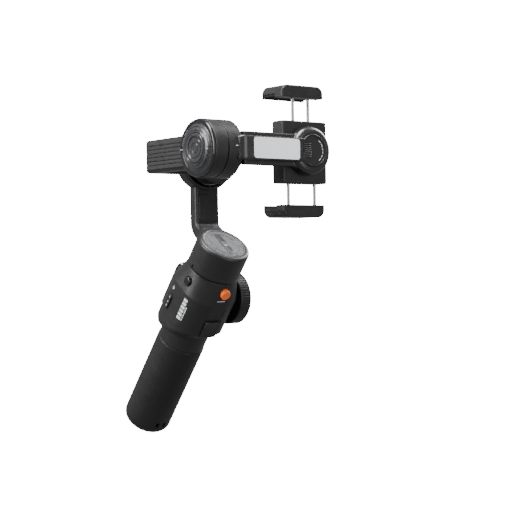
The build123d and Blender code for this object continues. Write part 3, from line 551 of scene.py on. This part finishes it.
def add_turned(bm, profile, segments=96):
    """A closed turned shape from (radius, z) points, from its axis out and back."""
    rings = []
    for radius, z in profile:
        if radius < 1e-6:
            rings.append([bm.verts.new((0, 0, z))])
            continue
        circle = arc_points((0, 0), radius, 0, 360, segments)[:-1]
        rings.append([bm.verts.new((x, y, z)) for x, y in circle])
    pairs = list(zip(rings, rings[1:]))
    if len(rings[0]) > 1:
        pairs.append((rings[-1], rings[0]))
    for first, second in pairs:
        for index in range(segments):
            after = (index + 1) % segments
            corners = [first[index % len(first)], first[after % len(first)],
                       second[after % len(second)], second[index % len(second)]]
            distinct = list(dict.fromkeys(corners))
            if len(distinct) > 2:
                bm.faces.new(distinct)


def add_sector(bm, inner, outer, start, end, bottom, top, steps=8):
    """A piece of a flat ring between two angles."""
    outline = arc_points((0, 0), outer, start, end, steps) + arc_points((0, 0), inner, end, start, steps)
    faces = [[bm.verts.new((x, y, z)) for x, y in outline] for z in (bottom, top)]
    count = len(outline)
    for index in range(count):
        after = (index + 1) % count
        bm.faces.new((faces[0][index], faces[0][after], faces[1][after], faces[1][index]))
    for level in faces:
        for index in range(steps):
            back = count - 1 - index
            bm.faces.new((level[index], level[index + 1], level[back - 1], level[back]))


# --- handle pieces --------------------------------------------------------------

def threaded_insert():
    """The tripod insert: a turned steel bush with a real helical thread inside."""
    low, high = extent("tripod_insert", ROW)
    outer = high.x
    turns_high = high.z - low.z
    rows = int(turns_high / THREAD_PITCH * ROWS_PER_TURN)
    bm = bmesh.new()
    grid = []
    for row in range(rows + 1):
        z = low.z + turns_high * row / rows
        line = []
        for index in range(THREAD_SEGMENTS):
            angle = 2 * math.pi * index / THREAD_SEGMENTS
            phase = (z / THREAD_PITCH - index / THREAD_SEGMENTS) % 1.0
            radius = THREAD_CREST_R + (THREAD_ROOT_R - THREAD_CREST_R) * abs(2 * phase - 1)
            line.append(bm.verts.new((radius * math.cos(angle), radius * math.sin(angle), z)))
        grid.append(line)
    circle = arc_points((0, 0), outer, 0, 360, THREAD_SEGMENTS)[:-1]
    grid.insert(0, [bm.verts.new((x, y, low.z)) for x, y in circle])
    grid.append([bm.verts.new((x, y, high.z)) for x, y in circle])
    loop = grid + [grid[0]]
    for first, second in zip(loop, loop[1:]):
        for index in range(THREAD_SEGMENTS):
            after = (index + 1) % THREAD_SEGMENTS
            bm.faces.new((first[index], first[after], second[after], second[index]))
    finish_piece("tripod_insert_threaded", bm, ROW, "turned_steel", "handle",
                 ["tripod_insert"], THREAD_SHARP)


def laid_bars(name, nodes, place, bars, material, body):
    """Thin printed bars that follow the CAD surface in front of a local frame."""
    trees = []
    for node in nodes:
        mesh = NODES[node].data
        points = [vertex.co.copy() for vertex in mesh.vertices]
        trees.append(BVHTree.FromPolygons(points, [tuple(face.vertices) for face in mesh.polygons]))
    inward = (place.to_3x3() @ Vector((0, 0, -1))).normalized()
    back = place.inverted()

    def depth(x, y):
        start = place @ Vector((x, y, RAY_START))
        hits = [tree.ray_cast(start, inward, RAY_REACH_M)[0] for tree in trees]
        return max([(back @ hit).z for hit in hits if hit is not None], default=None)

    bm = bmesh.new()
    for x_low, y_low, x_high, y_high in bars:
        columns = max(2, round((x_high - x_low) / PRINT_STEP))
        rows = max(2, round((y_high - y_low) / PRINT_STEP))
        sides = []
        for offset in (PRINT_LIFT, -PRINT_SINK):
            grid = []
            for row in range(rows + 1):
                y = y_low + (y_high - y_low) * row / rows
                xs = [x_low + (x_high - x_low) * column / columns for column in range(columns + 1)]
                grid.append([bm.verts.new((x, y, (depth(x, y) or 0) + offset)) for x in xs])
            sides.append(grid)
        top, under = sides
        for row in range(rows):
            for column in range(columns):
                for grid in sides:
                    bm.faces.new((grid[row][column], grid[row][column + 1],
                                  grid[row + 1][column + 1], grid[row + 1][column]))
        for row in range(rows):
            for edge in (0, columns):
                bm.faces.new((top[row][edge], top[row + 1][edge], under[row + 1][edge], under[row][edge]))
        for column in range(columns):
            for edge in (0, rows):
                bm.faces.new((top[edge][column], top[edge][column + 1],
                              under[edge][column + 1], under[edge][column]))
    finish_piece(name, bm, place, material, body)


def body_marks():
    """Plain bars and specks where the real one is printed."""
    angle = math.radians(MARK_ANGLE)
    outward = (math.sin(angle), math.cos(angle), 0)
    place = facing(ROW, (MARK_RADIUS * outward[0], MARK_RADIUS * outward[1], MARK_Z), outward, (0, 0, 1))
    shells = ["front_shell", "thumb_shell"]
    bars = [(-2.6, z, 0.9, z + 2.3) for z in (-9.6, -6.4, -3.2, 0.0, 3.2, 6.4)]
    laid_bars("side_mark", shells, place, bars, "print_white", "handle")
    bars = [(1.7, z, 2.6, z + 1.4) for z in (-9.0, -6.9, -4.8, -2.7, -0.6, 1.5)]
    laid_bars("side_mark_line", shells, place, bars, "print_white", "handle")
    place = facing(ROW, BUTTON_MARK, (0, 1, 0), (0, 0, 1))
    bars = [(x, -0.3, x + 1.2, 0.3) for x in (-3.6, -1.8, 0.0, 1.8)]
    laid_bars("button_mark", shells, place, bars, "print_white", "handle")
    place = facing(ROW, SPECK_MARK, (1, 0, 0), (0, 0, 1))
    bars = [(-0.9, -0.35, 0.9, 0.35), (-0.35, 0.6, 0.35, 1.4), (-0.35, -1.4, 0.35, -0.6)]
    laid_bars("speck_mark", shells, place, bars, "print_white", "handle")
    low, high = extent("pill_button", ROW)
    centre = ((low.x + high.x) / 2, (low.y + high.y) / 2, (low.z + high.z) / 2)
    place = facing(ROW, centre, (math.sin(PILL_TURN), math.cos(PILL_TURN), 0), (0, 0, 1))
    bars = [(-0.3, 3.0, 0.3, 4.4), (-0.7, -0.9, 0.7, -0.3), (-0.3, -4.6, 0.3, -3.2)]
    laid_bars("pill_mark", ["pill_button"], place, bars, "print_white", "pill_button")


def panel_marks():
    """Four short ticks round the joystick on the thumb panel."""
    centre = ROW.inverted() @ Vector(JOINTS["joystick_up_down"]["pos_m"])
    low = extent("thumb_panel", ROW)[0]
    place = facing(ROW, (0, low.y, centre.z), (0, -1, 0), (0, 0, 1))
    bm = bmesh.new()
    for start in (0, 90, 180, 270):
        add_sector(bm, TICK_INNER, TICK_OUTER, start - TICK_HALF_ANGLE, start + TICK_HALF_ANGLE,
                   -0.2, PRINT_LIFT)
    finish_piece("joystick_ticks", bm, place, "grey_print_and_reflection", "handle")


def roll_screws():
    """The two small screws on the near face of the pan arm's motor disc."""
    for index, (x, z) in enumerate(SCREW_CENTRES):
        place = facing(HEAD, (x, SCREW_FACE, z), (0, 1, 0), (0, 0, 1))
        bm = bmesh.new()
        profile = [(0, -0.1), (0.35, -0.1), (0.35, 0.25), (0.9, 0.25), (1.15, 0.0), (1.15, -0.6), (0, -0.6)]
        add_turned(bm, profile, SCREW_SEGMENTS)
        finish_piece(f"motor_screw_{index}", bm, place, "black_screw", "pan_stage")


def tilt_cap():
    """The dark cap over the tilt motor: ringed window, dished disc, grey arcs painted as a reflection, a grey bar
    and dashes.
    """
    face = facing(HEAD, (0, 0, 0), (1, 0, 0), (0, 0, 1))
    low, high = extent("tilt_cap_window", HEAD)
    disc_low, disc_high = extent("tilt_cap_disc", HEAD)
    outer, inner = high.z, disc_high.z
    top = high.x
    bm = bmesh.new()
    profile = [(inner + 0.05, low.x), (inner + 0.05, top - 0.5), (inner + 0.5, top), (inner + 1.5, top),
               (inner + 1.8, top - 0.5), (inner + 2.2, top - 0.2), (inner + 4.0, top - 0.7),
               (inner + 4.3, top - 1.2), (inner + 4.7, top - 0.9), (outer - 1.0, top - 1.6),
               (outer - 0.7, top - 2.0), (outer, top - 2.1), (outer, low.x)]
    add_turned(bm, profile)
    finish_piece("tilt_window_ringed", bm, face, "smoke_window", "roll_stage",
                 ["tilt_cap_window"], CAP_SHARP)
    bm = bmesh.new()
    rim = disc_high.x
    profile = [(0, rim - 0.5), (3.1, rim - 0.5), (3.4, rim - 0.9), (3.8, rim - 0.5), (6.6, rim - 0.4),
               (7.0, rim - 0.9), (7.6, rim - 0.9), (8.0, rim - 0.1), (8.4, rim), (inner - 0.5, rim - 0.1),
               (inner, rim - 0.6), (inner, disc_low.x), (0, disc_low.x)]
    add_turned(bm, profile)
    finish_piece("tilt_disc_dished", bm, face, "cap_dark", "roll_stage",
                 ["tilt_cap_disc"], CAP_SHARP)
    bm = bmesh.new()
    # Painted reflection: broken grey arcs along the left of the glossy ring; the next sector is a short grey bar
    # across it.
    for start, end in ((128, 146), (149, 172), (188, 211), (214, 226)):
        add_sector(bm, outer - 1.1, outer - 0.8, start, end, top - 1.8, top - 1.52)
    add_sector(bm, outer - 1.9, outer + 1.8, 178.6, 181.4, top - 1.9, top - 1.35)
    finish_piece("tilt_cap_reflection_arcs_and_bar", bm, face, "grey_print_and_reflection", "roll_stage")
    bm = bmesh.new()
    for start in (-12, -24, -36, -48):
        add_sector(bm, inner + 2.3, inner + 4.0, start - 3, start + 3, top - 0.9, top - 0.42)
    add_sector(bm, inner + 1.9, outer - 1.0, -1.4, 1.4, top - 1.5, top - 0.45)
    for start in (-66, -78, 70, 58):
        add_sector(bm, inner + 0.5, inner + 1.5, start - 4, start + 4, top - 0.3, top + 0.05)
    finish_piece("tilt_cap_dashes", bm, face, "print_dark", "roll_stage")


def tilt_markers():
    """The pair of setting marks on the tilt rotor's front."""
    high = extent("tilt_rotor", HEAD)[1]
    place = facing(HEAD, (high.x - 7.0, high.y, 0), (0, 1, 0), (0, 0, 1))
    for name, material, z in (("level_mark", "print_white", 1.0), ("level_groove", "print_dark", -1.3)):
        bm = bmesh.new()
        add_box(bm, (-1.8, z - 0.3, -0.25), (1.8, z + 0.3, 0.03))
        finish_piece(name, bm, place, material, "tilt_stage")


def swivel_face():
    """The cap over the swivel: a turned face with finger ribs and a broken arc of dashes."""
    low, high = extent("swivel_cap", HEAD)
    centre = (low + high) / 2
    radius = high.z
    place = facing(HEAD, (centre.x, low.y, centre.z), (0, 1, 0), (0, 0, 1))
    top = high.y - low.y
    bm = bmesh.new()
    add_turned(bm, [(0, top - 0.4), (radius - 1.3, top - 0.4), (radius - 1.1, top - 0.7),
                    (radius - 0.9, top - 0.1), (radius - 0.5, top), (radius, top - 0.5),
                    (radius, 0), (0, 0)])
    finish_piece("swivel_cap_turned", bm, place, "arm_plastic", "clamp", ["swivel_cap"], CAP_SHARP)
    bm = bmesh.new()
    for index in range(RIB_ROWS):
        y = (index - (RIB_ROWS - 1) / 2) * RIB_PITCH
        add_box(bm, (RIB_START, y - RIB_HALF, top - 0.6), (RIB_END, y + RIB_HALF, top), 0.3, 0.12)
    finish_piece("swivel_ribs", bm, place, "satin_black", "clamp")
    bm = bmesh.new()
    for start, end in ((40, 56), (18, 34), (2, 12), (-14, -4), (-34, -20), (-56, -40)):
        add_sector(bm, SWIVEL_DASH_INNER, SWIVEL_DASH_OUTER, start, end, top - 0.6, top - 0.34)
    finish_piece("swivel_dashes", bm, place, "print_white", "clamp")


def pan_cap():
    """The grey cap over the pan motor: stepped rings, a dark band across, dashes at its front."""
    low, high = extent("pan_cap", ROW)
    place = placement(Vector((0, 0, low.z * MM)), Vector((1, 0, 0)), Vector((0, 1, 0)), Vector((0, 0, 1)))
    radius, top = high.x, high.z - low.z
    bm = bmesh.new()
    add_turned(bm, [(0, top - 0.5), (11.2, top - 0.5), (11.4, top - 0.8), (11.9, top - 0.8),
                    (12.1, top - 0.4), (15.1, top - 0.3), (15.4, top - 0.6), (15.8, top - 0.1),
                    (radius - 0.5, top), (radius, top - 0.5), (radius, 0), (0, 0)])
    finish_piece("pan_cap_stepped", bm, place, "cap_grey", "pan_stage", ["pan_cap"], CAP_SHARP)
    bm = bmesh.new()
    add_box(bm, (-BAND_HALF, -BAND_REACH, top - 0.9), (BAND_HALF, BAND_REACH, top - 0.38), 1.2, 0.1)
    finish_piece("pan_cap_band", bm, place, "cap_band", "pan_stage")
    bm = bmesh.new()
    add_box(bm, (-TAB_HALF, -TAB_REACH, top - 0.7), (TAB_HALF, TAB_REACH, top - 0.28), 0.5, 0.08)
    finish_piece("pan_cap_tab", bm, place, "cap_grey", "pan_stage")
    bm = bmesh.new()
    for start in range(4, 92, PAN_DASH_PITCH):
        add_sector(bm, PAN_DASH_INNER, PAN_DASH_OUTER, start, start + PAN_DASH_ANGLE, top - 0.6, top - 0.3)
    finish_piece("pan_cap_dashes", bm, place, "print_dark", "pan_stage")


def roll_cap():
    """The cap behind the roll motor, turned with two shallow grooves."""
    low, high = extent("roll_back_cap", HEAD)
    radius, top = high.z, high.y - low.y
    place = facing(HEAD, (0, high.y, 0), (0, -1, 0), (0, 0, 1))
    bm = bmesh.new()
    add_turned(bm, [(0, top - 0.3), (6.0, top - 0.3), (6.3, top - 0.7), (6.9, top - 0.7),
                    (7.2, top - 0.2), (16.0, top - 0.1), (16.3, top - 0.5), (16.9, top - 0.5), (17.2, top),
                    (radius - 0.5, top), (radius, top - 0.5), (radius, 0), (0, 0)])
    finish_piece("roll_cap_turned", bm, place, "cap_dark", "pan_stage",
                 ["roll_back_cap"], CAP_SHARP)


# --- camera, stage and lights -----------------------------------------------------

def make_camera():
    """The camera, from its turn, rise and roll in the head frame. Returns its axes."""
    turn, rise, roll = (math.radians(a) for a in (VIEW_TURN, VIEW_RISE, VIEW_ROLL))
    across = Vector((-math.cos(turn), math.sin(turn), 0))
    level = Vector((math.sin(turn), math.cos(turn), 0))
    up = Vector((0, 0, 1))
    toward = level * math.cos(rise) - up * math.sin(rise)
    upward = up * math.cos(rise) + level * math.sin(rise)
    right = across * math.cos(roll) + upward * math.sin(roll)
    above = upward * math.cos(roll) - across * math.sin(roll)
    turned = HEAD.to_3x3() * (1 / MM)
    right, above, toward = (turned @ v for v in (right, above, toward))
    centre = O + (toward * VIEW_DISTANCE - right * VIEW_SHIFT[0] - above * VIEW_SHIFT[1]) * MM
    data = bpy.data.cameras.new("camera")
    data.sensor_width = SENSOR
    data.lens = FOCAL_PIXELS / PICTURE * SENSOR
    data.clip_start = 0.01
    camera = bpy.data.objects.new("camera", data)
    camera.matrix_world = Matrix.Translation(centre) @ Matrix((right, above, toward)).transposed().to_4x4()
    bpy.context.scene.collection.objects.link(camera)
    bpy.context.scene.camera = camera
    return right, above, toward


def make_light(name, view, offset, size, power):
    """A soft rectangular light, placed from the camera's own axes and aimed at the object."""
    right, above, toward = view
    aim = (CAD_BOX[0] + CAD_BOX[1]) / 2
    data = bpy.data.lights.new(name, "AREA")
    data.shape = "RECTANGLE"
    data.size, data.size_y = size
    data.energy = power
    light = bpy.data.objects.new(name, data)
    light.location = aim + right * offset[0] + above * offset[1] + toward * offset[2]
    light.rotation_mode = "QUATERNION"
    light.rotation_quaternion = (aim - light.location).to_track_quat("-Z", "Y")
    bpy.context.scene.collection.objects.link(light)


def make_stage():
    """A plain white floor that glows, just under the foot, and an even white surround."""
    bm = bmesh.new()
    corners = ((-1, -1), (1, -1), (1, 1), (-1, 1))
    bm.faces.new([bm.verts.new((x * FLOOR_HALF, y * FLOOR_HALF, 0)) for x, y in corners])
    mesh = bpy.data.meshes.new("floor")
    bm.to_mesh(mesh)
    bm.free()
    floor = bpy.data.objects.new("floor", mesh)
    floor.location.z = CAD_BOX[0].z - FLOOR_GAP
    bpy.context.scene.collection.objects.link(floor)
    made = Shader("floor_white")
    made.set(Base_Color=(0.9, 0.9, 0.9, 1), Roughness=0.9, Specular_IOR_Level=0.0)
    made.set(Emission_Color=(1, 1, 1, 1), Emission_Strength=FLOOR_GLOW)
    mesh.materials.append(MATERIALS["floor_white"])
    floor.visible_glossy = False
    floor.visible_diffuse = False
    world = bpy.data.worlds.new("surround")
    world.use_nodes = True
    world.node_tree.nodes["Background"].inputs["Color"].default_value = (1, 1, 1, 1)
    world.node_tree.nodes["Background"].inputs["Strength"].default_value = SURROUND
    bpy.context.scene.world = world


def main():
    """Materials first, then the pieces, then the view."""
    make_materials()
    dress_cad_nodes()
    threaded_insert()
    body_marks()
    panel_marks()
    roll_screws()
    tilt_cap()
    tilt_markers()
    swivel_face()
    pan_cap()
    roll_cap()
    view = make_camera()
    make_stage()
    make_light("key", view, offset=(-1.1, 0.5, 0.6), size=(0.8, 1.0), power=34)
    make_light("fill", view, offset=(0.9, 0.1, 0.9), size=(0.8, 1.2), power=7)
    make_light("rim", view, offset=(0.8, 0.7, -0.8), size=(0.5, 1.0), power=22)
    make_light("top", view, offset=(-0.1, 1.3, 0.3), size=(1.0, 0.6), power=60)


main()
